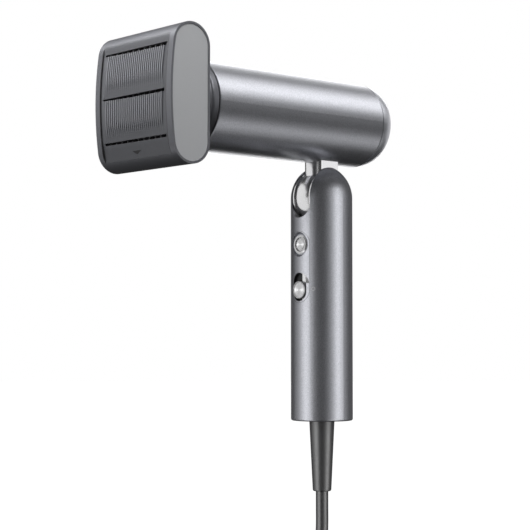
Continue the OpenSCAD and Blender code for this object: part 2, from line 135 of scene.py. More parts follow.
BEND_R = 13 * MM
RUN_LEN = 100 * MM
ROW_PITCH = 7.8 * MM
HANK_ROWS = 6
HANK_TOP = -138 * MM
HANK_MID = HANK_TOP - BEND_R - CORD_D / 2 - RUN_LEN / 2
ROW_Y0 = -(HANK_ROWS - 1) / 2 * ROW_PITCH
WAIST = 7.2 * MM
RUN_STEPS = 9
TURN_STEPS = 6
LEAD_JOINS_BELOW = -163 * MM
CORD_SPACING = 3 * MM
CORD_SIDES = 28

LEAD_ROUTE = [
    (0, 0, -80.8), (0, 0, -90), (0, 0, -100), (0.5, -1, -110), (3, -4, -120),
    (7, -10, -130), (11, -16, -142), (12.8, -19, -154), (13, -19.5, -162),
]
TAIL_ROUTE = [
    (0, 23, -142), (4, 25.5, -142.5), (8.5, 28, -146), (11.5, 30.2, -152),
    (13, 31.8, -160), (13, 32.5, -170), (13, 32.7, -180), (13, 32.7, -190),
]


def waist(z):
    """Distance of a run from the hank's middle plane: the tie draws the runs together."""
    return WAIST + (BEND_R - WAIST) * ease(abs(z - HANK_MID) / (RUN_LEN / 2))


def hank_points():
    """Down on the +X side, round, up on the -X side, over the top and on to the next row."""
    points = []
    top = HANK_MID + RUN_LEN / 2
    low = HANK_MID - RUN_LEN / 2
    turns = [math.pi * k / TURN_STEPS for k in range(1, TURN_STEPS)]
    for row in range(HANK_ROWS):
        y = ROW_Y0 + row * ROW_PITCH
        for k in range(RUN_STEPS + 1):
            z = top + (low - top) * k / RUN_STEPS
            if row > 0 or z < LEAD_JOINS_BELOW:
                points.append((waist(z), y, z))
        for a in turns:
            points.append((BEND_R * math.cos(a), y, low - BEND_R * math.sin(a)))
        for k in range(RUN_STEPS + 1):
            z = low + (top - low) * k / RUN_STEPS
            points.append((-waist(z), y, z))
        if row < HANK_ROWS - 1:
            for a in turns:
                across = y + ROW_PITCH * (1 - math.cos(a)) / 2
                points.append((-BEND_R * math.cos(a), across, top + BEND_R * math.sin(a)))
    return points


def smooth_path(points, spacing):
    """Catmull-Rom curve through the points, sampled at an even spacing."""
    pts = [Vector(p) for p in points]
    last = len(pts) - 1
    finer = 8
    dense = []
    for i in range(last):
        p0, p1, p2, p3 = pts[max(i - 1, 0)], pts[i], pts[i + 1], pts[min(i + 2, last)]
        for k in range(finer):
            t = k / finer
            dense.append(0.5 * ((2 * p1) + (p2 - p0) * t + (2 * p0 - 5 * p1 + 4 * p2 - p3) * t * t
                                + (3 * p1 - p0 - 3 * p2 + p3) * t ** 3))
    dense.append(pts[-1])
    lengths = [0.0]
    for a, b in zip(dense, dense[1:]):
        lengths.append(lengths[-1] + (b - a).length)
    count = max(2, round(lengths[-1] / spacing))
    out, j = [], 0
    for k in range(count + 1):
        want = lengths[-1] * k / count
        while j < len(lengths) - 2 and lengths[j + 1] < want:
            j += 1
        span = max(lengths[j + 1] - lengths[j], 1e-12)
        out.append(dense[j].lerp(dense[j + 1], min(1.0, (want - lengths[j]) / span)))
    return out


# ---------------------------------------------------------------- mesh helpers

def shade(mesh, limit=35):
    """Smooth shading, with every edge sharper than limit degrees kept crisp."""
    bm = bmesh.new()
    bm.from_mesh(mesh)
    bmesh.ops.recalc_face_normals(bm, faces=bm.faces)
    for face in bm.faces:
        face.smooth = True
    for edge in bm.edges:
        edge.smooth = len(edge.link_faces) != 2 or edge.calc_face_angle(0) < math.radians(limit)
    bm.to_mesh(mesh)
    bm.free()


def make_piece(name, verts, faces, limit=35):
    """Mesh object from points in metres."""
    mesh = bpy.data.meshes.new(name)
    mesh.from_pydata([tuple(v) for v in verts], [], faces)
    mesh.validate()
    shade(mesh, limit)
    return bpy.data.objects.new(name, mesh)


def loft(name, rings, limit=35):
    """Closed solid through rings of equally many points; the two end rings are capped."""
    sides = len(rings[0])
    verts = [v for ring in rings for v in ring]
    faces = []
    for i in range(len(rings) - 1):
        for k in range(sides):
            n = (k + 1) % sides
            faces.append((i * sides + k, i * sides + n,
                          (i + 1) * sides + n, (i + 1) * sides + k))
    faces.append(tuple(range(sides - 1, -1, -1)))
    faces.append(tuple((len(rings) - 1) * sides + k for k in range(sides)))
    return make_piece(name, verts, faces, limit)


def frame_loop(name, rings, limit=35):
    """Closed loop of a section: rings are the outlines round the section, in order."""
    count, sides = len(rings), len(rings[0])
    verts = [v for ring in rings for v in ring]
    faces = []
    for i in range(count):
        j = (i + 1) % count
        for k in range(sides):
            n = (k + 1) % sides
            faces.append((i * sides + k, i * sides + n, j * sides + n, j * sides + k))
    return make_piece(name, verts, faces, limit)


def tube_rings(path, radius, sides):
    """Rings square to the path, turned as little as possible from one to the next."""
    rings, side = [], None
    angles = [2 * math.pi * k / sides for k in range(sides)]
    for i, p in enumerate(path):
        t = (path[min(i + 1, len(path) - 1)] - path[max(i - 1, 0)]).normalized()
        side = t.orthogonal() if side is None else side - t * side.dot(t)
        side = side.normalized()
        up = t.cross(side)
        rings.append([p + (side * math.cos(a) + up * math.sin(a)) * radius for a in angles])
    return rings


def turned(name, profile, sides=96, limit=35):
    """Solid turned about local Z from (radius, height) pairs in millimetres, bottom to top."""
    angles = [2 * math.pi * k / sides for k in range(sides)]
    rings = [[Vector((r * math.cos(a), r * math.sin(a), h)) * MM for a in angles]
             for r, h in profile]
    return loft(name, rings, limit)


# ---------------------------------------------------------------- cord, tie and plug

def make_cord():
    """One tube from the strain relief through the hank to the plug."""
    lead = [Vector(p) * MM for p in LEAD_ROUTE]
    tail = [Vector(p) * MM for p in TAIL_ROUTE]
    path = smooth_path(lead + [Vector(p) for p in hank_points()] + tail, CORD_SPACING)
    cord = loft("mains_cord", tube_rings(path, CORD_D / 2, CORD_SIDES), 60)
    place(cord, "handle", ("cord_lead", "cord_hank", "cord_tail"))
    return cord, path


# Section of the strap in millimetres: outwards from the hank, and height, with a rolled edge.
STRAP_SECTION = (
    (0, -7.6), (0, 7.6), (0.5, 8), (1.3, 8), (1.7, 7.6), (1.7, 6.4), (1.45, 6), (1.45, -6),
    (1.7, -6.4), (1.7, -7.6), (1.3, -8), (0.5, -8),
)
STRAP_SLACK = 0.2 * MM
STRAP_CORNER = 5.5 * MM
STRAP_HALF_X = WAIST + CORD_D / 2 + STRAP_SLACK
STRAP_HALF_Y = (HANK_ROWS - 1) / 2 * ROW_PITCH + CORD_D / 2 + STRAP_SLACK


def make_strap():
    """The moulded strap round the waist of the hank."""
    corner, steps = STRAP_CORNER, 8
    loop = []
    for cx, cy, start in ((1, 1, 0), (-1, 1, 90), (-1, -1, 180), (1, -1, 270)):
        for k in range(steps + 1):
            a = math.radians(start + 90 * k / steps)
            nx, ny = math.cos(a), math.sin(a)
            loop.append((cx * (STRAP_HALF_X - corner) + corner * nx,
                         cy * (STRAP_HALF_Y - corner) + corner * ny, nx, ny))
    verts, faces = [], []
    for x, y, nx, ny in loop:
        for out, z in STRAP_SECTION:
            verts.append((x + nx * out * MM, y + ny * out * MM, HANK_MID + z * MM))
    m = len(STRAP_SECTION)
    for i in range(len(loop)):
        j = (i + 1) % len(loop)
        for k in range(m):
            n = (k + 1) % m
            faces.append((i * m + k, j * m + k, j * m + n, i * m + n))
    return place(make_piece("cord_strap", verts, faces, 40), "handle", ("cord_tie",))


def make_strap_end():
    """The lapped end of the strap on the hank's +X side, with small teeth."""
    x, steps = STRAP_HALF_X + 1.4 * MM, 12
    first, reach = -STRAP_HALF_Y + 9 * MM, STRAP_HALF_Y * 2 - 20 * MM
    rings = []
    for k in range(steps + 1):
        y = first + reach * k / steps
        thin, wide = (1.2, 6.6) if 0 < k < steps else (0.7, 5.6)
        tooth = 0.35 if k % 2 else 0
        rings.append([Vector((x + out * MM, y, HANK_MID + z * MM)) for out, z in (
            (0, -wide), (thin, -(wide - 0.5)), (thin + tooth, 0), (thin, wide - 0.5), (0, wide))])
    return place(loft("cord_strap_end", rings, 20), "handle", ())


def oval(half_x, half_y, power, sides=72):
    """Superellipse ring: power 2 is an ellipse, more is squarer."""
    ring = []
    for k in range(sides):
        c, s = math.cos(2 * math.pi * k / sides), math.sin(2 * math.pi * k / sides)
        ring.append((math.copysign(abs(c) ** (2 / power), c) * half_x,
                     math.copysign(abs(s) ** (2 / power), s) * half_y))
    return ring


PLUG_NECK = 12 * MM
PLUG_NECK_R = 6.8 * MM
PLUG_FLARE = 10 * MM
PLUG_PINCH = 1.1 * MM


def make_plug():
    """Two-pin plug: a ribbed neck that flares into a flat grip with finger waists."""
    x0, y0 = (PLUG_LOW[0] + PLUG_HIGH[0]) / 2, (PLUG_LOW[1] + PLUG_HIGH[1]) / 2
    top, low = PLUG_HIGH[2], PLUG_LOW[2]
    half_x, half_y = (PLUG_HIGH[0] - PLUG_LOW[0]) / 2, (PLUG_HIGH[1] - PLUG_LOW[1]) / 2
    sections = []
    for k in range(15):
        rib = 0.45 * MM if k % 3 == 1 else 0
        r = (4.4 + 0.17 * k) * MM + rib
        sections.append((top - k * 0.8 * MM, r, r, 2))
    neck = top - PLUG_NECK
    for k in range(1, 10):
        t = k / 9
        flare = ease(t)
        sections.append((neck - PLUG_FLARE * t, PLUG_NECK_R + (half_x - PLUG_NECK_R) * flare,
                         PLUG_NECK_R + (half_y - PLUG_NECK_R) * flare, 2 + 1.6 * flare))
    body_top = neck - PLUG_FLARE
    for k in range(1, 12):
        z = body_top + (low + 1.2 * MM - body_top) * k / 11
        pinch = PLUG_PINCH * math.sin(math.pi * k / 11)
        sections.append((z, half_x - pinch, half_y - 0.25 * pinch, 3.6))
    for rise, inset, power in ((0.35, 0.4, 3.6), (0, 1.2, 3.4)):
        sections.append((low + rise * MM, half_x - inset * MM, half_y - inset * MM, power))
    rings = [[Vector((x0 + x, y0 + y, z)) for x, y in oval(hx, hy, power)]
             for z, hx, hy, power in sections]
    return place(loft("mains_plug", rings, 30), "handle", ("plug_body",))


CORD, CORD_PATH = make_cord()
STRAP, STRAP_END = make_strap(), make_strap_end()
PLUG = make_plug()

# ---------------------------------------------------------------- nozzle front

NOZZLE_LOW, NOZZLE_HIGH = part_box("nozzle_shell")
PANEL_LOW, PANEL_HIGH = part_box("front_panel")
FRONT_Y = NOZZLE_LOW[1] / MM
NOZZLE_BACK = NOZZLE_HIGH[1] / MM
OUTLINE_R = 12.2
OUTLINE_Z = (NOZZLE_HIGH[2] - NOZZLE_LOW[2]) / 2 / MM - OUTLINE_R
OUTLINE_Y = NOZZLE_BACK - OUTLINE_R
BOW_RISE = OUTLINE_Y - FRONT_Y
BOW_R = (BOW_RISE ** 2 + OUTLINE_Z ** 2 - OUTLINE_R ** 2) / (2 * (BOW_RISE - OUTLINE_R))
SLOT_LEVELS = (25.4, 0.9, -23.2)
SLOT_HALF_HEIGHT = 0.95
SLOT_HALF_WIDTH = 27.3
PANEL_TOP = PANEL_HIGH[2] / MM - AXIS_Z / MM + 0.35
PANEL_BOTTOM = PANEL_LOW[2] / MM - AXIS_Z / MM - 0.35
PANEL_HALF = PANEL_HIGH[0] / MM + 0.3
RECESS = 0.7
RIB_PITCH = 1.75
RIB_COUNT = 29
RIB_HEIGHT = 0.62
# Offset from a rib's middle, and how much of its height stands there.
RIB_SHAPE = ((-0.58, 0.0), (-0.46, 0.8), (-0.3, 1.0), (0.3, 1.0), (0.46, 0.8), (0.58, 0.0))
RIB_FADE = (0.05, 0.45)
# How far the lip under each slot rises at its near and its far end.
SLOT_NARROWING = ((0.0, 0.85), (0.0, 0.95), (0.4, 0.7))
SLOT_NARROWING_POWER = 2.5
FIELD_LEAN = 0.42
FIELD_DROOP = 0.5
FIELD_BLEND = 1.5
FIELD_ROWS = 34
BORDER_ROWS = 10
FLAP_SINK = 0.3
PANEL_WALL = 1.5
PANEL_EDGES = (
    [PANEL_TOP]
    + [z + half for z in SLOT_LEVELS for half in (SLOT_HALF_HEIGHT, -SLOT_HALF_HEIGHT)]
    + [PANEL_BOTTOM]
)
# Painted shade of the flat parts of the panel, between the dark valleys and the pale crests of the
# ribs.
FLAT_PAINTED_SHADE = 0.30
NEAR = 1e-6


def front_at(dz, inset=0.0):
    """Y of the nozzle's front in millimetres, at dz above the barrel's axis, drawn in by inset."""
    if abs(dz) <= (BOW_R - inset) * OUTLINE_Z / (BOW_R - OUTLINE_R):
        return FRONT_Y + BOW_R - math.sqrt((BOW_R - inset) ** 2 - dz * dz)
    return OUTLINE_Y - math.sqrt(max(0.01, (OUTLINE_R - inset) ** 2 - (abs(dz) - OUTLINE_Z) ** 2))


def rib_stand(dz, rib):
    """How far a rib stands at this height, 0 to 1: full under a slot, gone above the next one."""
    start, full = RIB_FADE
    for above, below in zip(SLOT_LEVELS, SLOT_LEVELS[1:]):
        low, top = below + SLOT_HALF_HEIGHT, above - SLOT_HALF_HEIGHT
        if low <= dz <= top + NEAR:
            return rib * ease(((dz - low) / (top - low) - start) / (full - start))
    return 0.0


def rib_painted_shade(x, dz, rib):
    """Painted shade on the panel: pale painted highlight on rib crests, dark painted shade in their
    valleys, flat parts lie between.
    """
    fade = rib_stand(dz, 1.0) if abs(x) < RIB_COUNT / 2 * RIB_PITCH else 0.0
    return FLAT_PAINTED_SHADE + (rib - FLAT_PAINTED_SHADE) * fade


def panel_face(x, dz, rib):
    """Y of the louvred face; rib is how much of a rib stands at this x."""
    edges = PANEL_EDGES
    if dz >= edges[1] - NEAR:
        return front_at(dz, RECESS * (1 - ease((dz - edges[1]) / (edges[0] - edges[1]))))
    if dz <= edges[6] + NEAR:
        t = (edges[6] - dz) / (edges[6] - edges[7])
        return front_at(edges[6], RECESS + FLAP_SINK) * (1 - t) + front_at(edges[7], 0.0) * t
    for top, low in ((edges[2], edges[3]), (edges[4], edges[5])):
        if low - NEAR <= dz <= top + NEAR:
            u = (dz - low) / (top - low)
            droop = FIELD_DROOP if top > 0 else 0
            blend = ease((SLOT_HALF_WIDTH - abs(x)) / FIELD_BLEND)
            lean = (FIELD_LEAN * u * u + droop * (1 - u) ** 3) * blend
            return front_at(dz, RECESS + lean) - RIB_HEIGHT * rib_stand(dz, rib)
    return front_at(dz, RECESS)


def panel_columns():
    """X of each column of points with how much of a rib stands there, from the far end on."""
    edge = [(-PANEL_HALF, 0), (-PANEL_HALF + 0.25, 0), (-SLOT_HALF_WIDTH, 0),
            (-SLOT_HALF_WIDTH + 0.6, 0), (-SLOT_HALF_WIDTH + 1.2, 0)]
    first = -(RIB_COUNT - 1) / 2 * RIB_PITCH
    ribs = [(first + i * RIB_PITCH + dx, h) for i in range(RIB_COUNT) for dx, h in RIB_SHAPE]
    return edge + ribs + [(-x, h) for x, h in reversed(edge)]


def panel_rows():
    """Height of each row of points, top down, and the rows that a slot follows."""
    rows, slot_rows = [], []
    for part, count in enumerate((BORDER_ROWS, FIELD_ROWS, FIELD_ROWS, BORDER_ROWS)):
        top, low = PANEL_EDGES[2 * part:2 * part + 2]
        if part:
            slot_rows.append(len(rows) - 1)
        rows += [top + (low - top) * k / count for k in range(count + 1)]
    return rows, slot_rows


def make_front_panel():
    """Louvred front with fine upright ribs, three open air slots and a plain flap below them."""
    columns = panel_columns()
    rows, slot_rows = panel_rows()
    nx, nz = len(columns), len(rows)
    lips = {above + 1: rises for above, rises in zip(slot_rows, SLOT_NARROWING)}

    def height(j, x):
        """Height of row j at x: the lip under each slot rises towards the far end."""
        if j not in lips or abs(x) > SLOT_HALF_WIDTH:
            return rows[j]
        near, far = lips[j]
        along = (SLOT_HALF_WIDTH - x) / (2 * SLOT_HALF_WIDTH)
        return rows[j] + near + (far - near) * along ** SLOT_NARROWING_POWER

    def present(i, j):
        """True where the panel has a face right of column i and below row j."""
        if not (0 <= i < nx - 1 and 0 <= j < nz - 1):
            return False
        middle = (columns[i][0] + columns[i + 1][0]) / 2
        return not (j in slot_rows and abs(middle) < SLOT_HALF_WIDTH)

    front, rear = [], []
    for j, dz in enumerate(rows):
        for x, rib in columns:
            z = height(j, x) + AXIS_Z / MM
            front.append(Vector((x, panel_face(x, dz, rib), z)) * MM)
            rear.append(Vector((x, front_at(dz, RECESS + PANEL_WALL), z)) * MM)
    back = nx * nz
    faces = []
    for j in range(nz - 1):
        for i in range(nx - 1):
            if not present(i, j):
                continue
            a, b = j * nx + i, j * nx + i + 1
            c, d = b + nx, a + nx
            faces += [(a, b, c, d), (back + d, back + c, back + b, back + a)]
            for p, q, di, dj in ((a, b, 0, -1), (b, c, 1, 0), (c, d, 0, 1), (d, a, -1, 0)):
                if not present(i + di, j + dj):
                    faces.append((q, p, back + p, back + q))
    panel = make_piece("nozzle_front", front + rear, faces, 38)
    # The rib attribute carries painted shade: pale painted highlight on rib crests, dark in their
    # valleys.
    rib_shade_attribute = panel.data.attributes.new("rib", "FLOAT", "POINT")
    rib_shade_attribute.data.foreach_set("value", [rib_painted_shade(x, dz, rib) for dz in rows for x, rib in columns] * 2)
    return place(panel, "nozzle", ("front_panel",))


# Black strips of painted shadow on the steps between the panel and the end rims: inset, half width,
# foot, height and steps.
SHADOW_STRIP_INSET = 0.1
SHADOW_STRIP_HALF_WIDTH = 0.2
SHADOW_STRIP_LOW, SHADOW_STRIP_TALL, SHADOW_STRIP_STEPS = -32.4, 61.4, 40


def make_painted_shadow_strip(name, x):
    """Black strip of painted shadow on the step between the panel and one of the end rims."""
    rings = []
    for k in range(SHADOW_STRIP_STEPS + 1):
        dz = SHADOW_STRIP_LOW + SHADOW_STRIP_TALL * k / SHADOW_STRIP_STEPS
        y_in, y_out = front_at(dz, RECESS + 0.4), front_at(dz, 0.10)
        rings.append([Vector((x + dx, y, dz + AXIS_Z / MM)) * MM for dx, y in (
            (-SHADOW_STRIP_HALF_WIDTH, y_in), (SHADOW_STRIP_HALF_WIDTH, y_in),
            (SHADOW_STRIP_HALF_WIDTH, y_out), (-SHADOW_STRIP_HALF_WIDTH, y_out))])
    return place(loft(name, rings, 30), "nozzle", ())


# Outline of the arrowhead: x, and height from the barrel's axis.
ARROW = ((-3.9, -28.3), (3.9, -28.3), (0.5, -30.1), (-0.5, -30.1))


def make_marker():
    """A small plain arrowhead on the flap, just proud of it."""
    rings = [[Vector((x, panel_face(x, dz, 0) - proud, dz + AXIS_Z / MM)) * MM for x, dz in ARROW]
             for proud in (-0.2, 0.07)]
    return place(loft("nozzle_arrow", rings, 20), "nozzle", ())


# ---------------------------------------------------------------- controls

BUTTON_LOW, BUTTON_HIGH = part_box("mode_button")
KNOB_LOW, KNOB_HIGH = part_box("slide_knob")
STRIP_LOW, STRIP_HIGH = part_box("control_strip")


def face_front(obj, low, high):
    """Stands a turned piece on the handle's front, in its box: local Z points to -Y."""
    spot = Vector(((low[0] + high[0]) / 2, low[1], (low[2] + high[2]) / 2))
    obj.matrix_world = Matrix.Translation(spot) @ Matrix.Rotation(math.pi / 2, 4, "X")
    return obj


def make_button():
    """Turned metal cap: a rim, a step and fine grooves to its middle."""
    profile = [(4.7, -3.2), (4.7, -2.9), (3.9, -2.9), (3.9, -0.35), (3.85, -0.12), (3.65, 0.0),
               (3.45, 0.0), (3.4, -0.2), (3.1, -0.2), (3.05, 0.0)]
    profile += [(3.0 - 0.2 * k, -0.02 if k % 2 else 0.01) for k in range(14)]
    profile += [(0.12, 0.0)]
    button = face_front(turned("mode_button_cap", profile), BUTTON_LOW, BUTTON_HIGH)
    return place(button, "button", ("mode_button",))


def make_knob():
    """Turned metal knob: a knurled skirt, a raised rim and a grooved face, over its stem."""
    tall = (KNOB_HIGH[1] - KNOB_LOW[1]) / MM
    profile = [(1.2, -tall), (1.2, -1.65), (4.6, -1.65), (5.0, -1.5)]
    for k in range(4):
        profile += [(5.0, -1.4 + 0.27 * k), (4.85, -1.26 + 0.27 * k)]
    profile += [(5.0, -0.3), (4.95, -0.1), (4.75, 0.0), (4.45, 0.0), (4.3, -0.25), (4.1, -0.32)]
    profile += [(3.9 - 0.22 * k, -0.34 + (0.02 if k % 2 else 0)) for k in range(17)]
    profile += [(0.12, -0.32)]
    knob = face_front(turned("slide_knob_cap", profile), KNOB_LOW, KNOB_HIGH)
    return place(knob, "slider", ("slide_knob",))


# The switch recess in millimetres: centres of its round ends, and its floor.
RECESS_TOP, RECESS_LOW = HINGE_Z / MM - 49.2, HINGE_Z / MM - 55.2
RECESS_FLOOR = -15.42
# Foot and thickness of the black sheet of painted shade inside the recess.
SHADE_SHEET_FOOT = -17.35
SHADE_SHEET_THICKNESS = 0.08


def stadium(half, top=RECESS_TOP, low=RECESS_LOW, sides=24):
    """Points round an upright slot with round ends of that half width, centred at top and low."""
    points = []
    for centre, start in ((top, 0), (low, math.pi)):
        for k in range(sides + 1):
            a = start + math.pi * k / sides
            points.append((half * math.cos(a), centre + half * math.sin(a)))
    return points


def on_handle(x, lift):
    """X and Y of a point on the handle's front, x off its middle and lifted off its surface."""
    turn = -math.pi / 2 + math.asin(min(0.999, x / HANDLE_R))
    return (HANDLE_R + lift) * math.cos(turn), (HANDLE_R + lift) * math.sin(turn)


def make_recess_painted_shade():
    """Black sheet of painted shade in the switch recess: a thin wall and a floor with the stem's
    slot in it.
    """
    under = RECESS_FLOOR - SHADE_SHEET_THICKNESS
    section = ((5.28, SHADE_SHEET_FOOT), (5.28, RECESS_FLOOR), (1.5, RECESS_FLOOR), (1.5, under),
               (5.12, under), (5.12, SHADE_SHEET_FOOT))
    rings = [[Vector((x, y, z)) * MM for x, z in stadium(half)] for half, y in section]
    return place(frame_loop("recess_lining", rings), "handle", ())


def make_recess_plate():
    """Bright strip of metal along one side of the recess, under the knob's skirt."""
    inner = 1.35
    outline = sorted((p for p in stadium(5.05) if p[0] > inner), key=lambda p: p[1])
    outline = [(inner, outline[0][1])] + outline + [(inner, outline[-1][1])]
    rings = [[Vector((x, y, z)) * MM for x, z in outline] for y in (-16.55, -16.42)]
    return place(loft("recess_plate", rings, 30), "handle", ())


def make_recess_bevel():
    """Bright cut edge beside the upper half of the recess, widest at its foot."""
    reach, foot, sweep, steps = 5.35, -8, 80, 14
    rings = []
    for k in range(steps + 1):
        t = k / steps
        a = math.radians(foot + sweep * t)
        wide = 1.75 * (1 - t) ** 1.2 + 0.04
        ring = []
        for out, lift in ((0, -0.05), (wide, -0.05), (wide, 0.02), (0, 0.04)):
            x = (reach + out) * math.cos(a)
            z = RECESS_TOP + (reach + out) * math.sin(a)
            ring.append(Vector((*on_handle(x * MM, lift * MM), z * MM)))
        rings.append(ring)
    return place(loft("recess_bevel", rings, 30), "handle", ())


def make_strip_seam():
    """The hairline joint round the control strip, on the handle's surface."""
    half = (STRIP_HIGH[0] - STRIP_LOW[0]) / 2
    top = (BUTTON_LOW[2] + BUTTON_HIGH[2]) / 2 + 0.3 * MM
    low = (KNOB_LOW[2] + KNOB_HIGH[2]) / 2 - 0.1 * MM
    path = stadium(half, top, low)
    section = ((-0.05, -0.09), (0.03, -0.09), (0.03, 0.09), (-0.05, 0.09))
    rings = [[] for corner in section]
    for i, (x, z) in enumerate(path):
        before, after = path[i - 1], path[(i + 1) % len(path)]
        along = Vector((after[0] - before[0], after[1] - before[1])).normalized()
        for ring, (lift, side) in zip(rings, section):
            ring.append(Vector((*on_handle(x + along[1] * side * MM, lift * MM),
                                z - along[0] * side * MM)))
    return place(frame_loop("strip_seam", rings, 30), "handle", ())


# The printed circle: its radii, place, thickness, and the radius that it is bent to.
MARK_OUTER, MARK_INNER = 1.15 * MM, 0.85 * MM
MARK_ANGLE, MARK_HEIGHT = math.radians(-59), 36.5 * MM
MARK_THICK = 0.05 * MM
MARK_BEND_R = HANDLE_R + 0.02 * MM


def make_off_mark():
    """A thin printed circle, the plain off sign, beside the switch's lower end."""
    sides = 40
    rings = []
    for lift, size in ((0, MARK_OUTER), (MARK_THICK, MARK_OUTER),
                       (MARK_THICK, MARK_INNER), (0, MARK_INNER)):
        ring = []
        for a in (2 * math.pi * k / sides for k in range(sides)):
            turn = MARK_ANGLE + size * math.cos(a) / MARK_BEND_R
            far = HANDLE_R + lift
            z = MARK_HEIGHT + size * math.sin(a)
            ring.append(Vector((far * math.cos(turn), far * math.sin(turn), z)))
        rings.append(ring)
    return place(frame_loop("off_mark", rings, 30), "handle", ())


# ---------------------------------------------------------------- light and stage

def direction(azimuth, elevation):
    """Unit vector; azimuth 0 is +X and 90 is +Y, in degrees."""
    a, e = math.radians(azimuth), math.radians(elevation)
    return Vector((math.cos(a) * math.cos(e), math.sin(a) * math.cos(e), math.sin(e)))


# Strip lights standing round the handle and lying round the barrel: angle in degrees, radiance.
HANDLE_FAN = (
    (-150, 0.32), (-135, 0.43), (-120, 1.11), (-105, 2.01), (-90, 1.62), (-72, 0.13), (-15, 0.24),
    (0, 0.74), (15, 2.08), (30, 1.67), (45, 0.33), (60, 0.15), (97, 0.10), (157, 0.20),
)
BARREL_FAN = (
    (-165, 3.0), (-60, 0.60), (-45, 0.92), (-30, 0.20), (0, 0.12), (30, 0.76), (45, 2.40),
    (60, 2.40), (75, 1.30), (105, 0.24), (120, 1.09), (135, 2.51), (150, 4.0),
)
# Square lights round the nozzle: azimuth, elevation, radiance.
NOZZLE_LIGHTS = (
    (-150, 50, 4.4), (-120, 45, 4.6), (-90, 50, 1.4), (-60, 50, 1.6), (-30, 50, 5.0),
    (0, 50, 2.7), (30, 50, 2.3), (60, 50, 1.3), (-135, 15, 1.1), (-90, 15, 2.4),
    (30, 10, 0.9), (-120, -38, 3.2),
)
# Cards that bright faces mirror: azimuth, elevation, width, height, radiance.
HINGE_CARDS = ((-139, 0, 1.0, 1.0, 0.74), (41, 2, 0.5, 0.5, 0.88), (-75, 10, 0.16, 0.8, 0.5))
BARREL_CARDS = ((96, 4, 0.5, 0.4, 0.9),)
TURNED_CARDS = (
    (-139, 4, 0.07, 0.7, 2.4), (-139, 4, 0.9, 0.9, 0.34), (20, 0, 0.3, 0.6, 0.8),
    (-90, 0, 0.35, 0.5, 0.6),
)
TURNED_FACES = ("mode_button_cap", "slide_knob_cap")
HINGE_METAL = (
    "hinge_ball", "hinge_discs", "neck_post", "neck_saddle", "recess_bevel", "recess_plate",
)
LIGHT_DISTANCE = 0.6
STRIP_WIDTH = 0.16
GRIP_STRIP_LENGTH, GRIP_STRIP_Z = 1.2, -0.15
BARREL_STRIP_LENGTH, BARREL_STRIP_Y = 1.4, 0.38
NOZZLE_LIGHT_SIZE = 0.3
# What each group of square lights and cards looks at.
NOZZLE_MIDDLE = Vector((0, -0.125, AXIS_Z))
BARREL_MIDDLE = Vector((0, 0.03, AXIS_Z))
HINGE_MIDDLE = Vector((0, 0, HINGE_Z))
CONTROLS_MIDDLE = Vector((0, 0, HINGE_Z / 2))
UP = Vector((0, 0, 1))
BACKWARDS = Vector((0, 1, 0))


def softbox(name, spot, axes, width, height, radiance, receivers):
    """A rectangular light that lights only the receivers; axes are its X, its Y and its back."""
    data = bpy.data.lights.new(name, "AREA")
    data.shape = "RECTANGLE"
    data.size, data.size_y = width, height
    data.energy = radiance * width * height * math.pi
    light = bpy.data.objects.new(name, data)
    bpy.context.scene.collection.objects.link(light)
    turn = Matrix(axes).transposed().to_4x4()
    light.matrix_world = Matrix.Translation(spot) @ turn
    light.visible_camera = False
    light.light_linking.receiver_collection = receivers


def group_of(name, objects):
    """A collection of the objects, for the lights of one group."""
    made = bpy.data.collections.new(name)
    for obj in objects:
        made.objects.link(obj)
    return made


def riders(*bodies):
    """Every mesh on the bodies, but for the bright metal that has lights of its own."""
    return [obj for obj in bpy.data.objects
            if obj.type == "MESH" and obj.get("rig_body") in bodies
            and obj.name not in HINGE_METAL + TURNED_FACES]


def make_cards(middle, cards, receivers):
    """Lights that look at the middle; a card is azimuth, elevation, width, height, radiance."""
    for azimuth, elevation, width, height, radiance in cards:
        out = direction(azimuth, elevation)
        side = UP.cross(out).normalized()
        softbox("card", middle + out * LIGHT_DISTANCE, (side, out.cross(side), out), width, height,
                radiance, receivers)


def make_lights():
    """Each group of pieces has its own lights, as in a retouched studio picture."""
    grip = group_of("lit_grip", riders("handle", "button", "slider"))
    for angle, radiance in HANDLE_FAN:
        out = direction(angle, 0)
        spot = out * LIGHT_DISTANCE + UP * GRIP_STRIP_Z
        softbox("strip_grip", spot, (UP.cross(out), UP, out), STRIP_WIDTH, GRIP_STRIP_LENGTH,
                radiance, grip)
    barrel = group_of("lit_barrel", riders("head", "rotor", "rear_cap"))
    for angle, radiance in BARREL_FAN:
        far_side = abs(angle) > 90
        out = direction(180, math.copysign(180, angle) - angle) if far_side else direction(0, angle)
        spot = Vector((0, BARREL_STRIP_Y, AXIS_Z)) + out * LIGHT_DISTANCE
        softbox("strip_barrel", spot, (BACKWARDS, out.cross(BACKWARDS), out), BARREL_STRIP_LENGTH,
                STRIP_WIDTH, radiance, barrel)
    nozzle = group_of("lit_nozzle", riders("nozzle_mount", "nozzle"))
    hinge = group_of("lit_hinge", [bpy.data.objects[name] for name in HINGE_METAL])
    turned_faces = group_of("lit_turned", [bpy.data.objects[name] for name in TURNED_FACES])
    squares = [(azimuth, elevation, NOZZLE_LIGHT_SIZE, NOZZLE_LIGHT_SIZE, radiance)
               for azimuth, elevation, radiance in NOZZLE_LIGHTS]
    make_cards(NOZZLE_MIDDLE, squares, nozzle)
    make_cards(HINGE_MIDDLE, HINGE_CARDS, hinge)
    make_cards(BARREL_MIDDLE, BARREL_CARDS, barrel)
    make_cards(CONTROLS_MIDDLE, TURNED_CARDS, turned_faces)


ROOM_LOW, ROOM_HIGH = 0.03, 0.10
FLOOR_R = 12
FLOOR_GAP = 0.03


